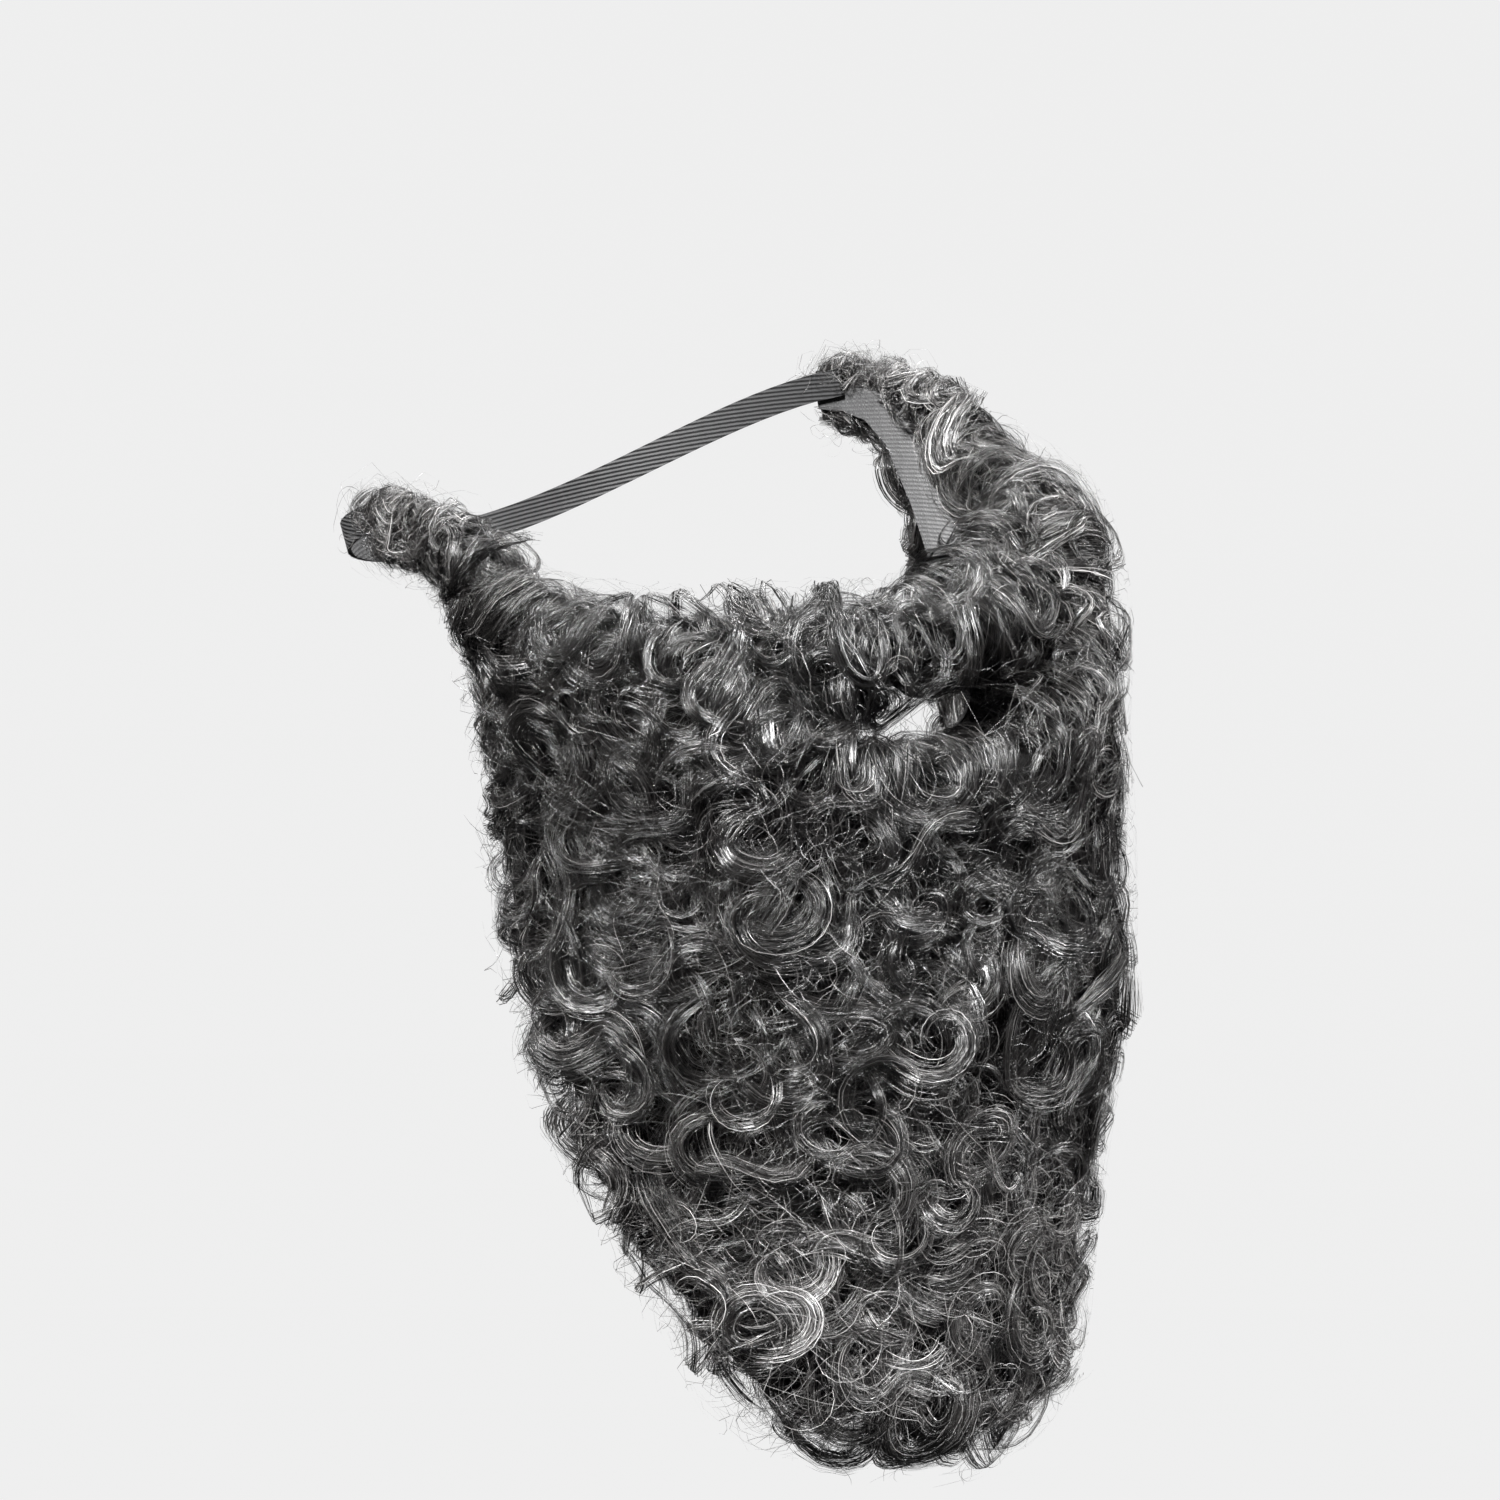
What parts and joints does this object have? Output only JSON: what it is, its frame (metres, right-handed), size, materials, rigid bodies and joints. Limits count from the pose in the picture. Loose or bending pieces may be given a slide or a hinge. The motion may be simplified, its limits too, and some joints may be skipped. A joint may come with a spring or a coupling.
{
  "type": "false beard",
  "caption": "Long curly grey false beard with moustache, hair fused to a knit face backing with a mouth opening, held by a flat elastic round the head, in its worn form.",
  "frame": {"origin": "midway between the tops of the wearer's ears, where the elastic pulls", "axes": "+Z plumb up, the wearer looks along -Y, +X is the wearer's left; the head and with it the backing lean 15 degrees to the wearer's right and tip back 4.5 degrees"},
  "size_m": [0.1974, 0.2494, 0.3073],
  "materials": {
    "knit_backing": "matt charcoal knit",
    "curled_hair": "glossy curled synthetic fibre in black, grey and white",
    "elastic": "dark woven flat elastic"
  },
  "bodies": {
    "root": {"backing": "knit_backing", "beard_hair": "curled_hair", "moustache_hair": "curled_hair", "elastic_band": "elastic"}
  },
  "joints": []
}
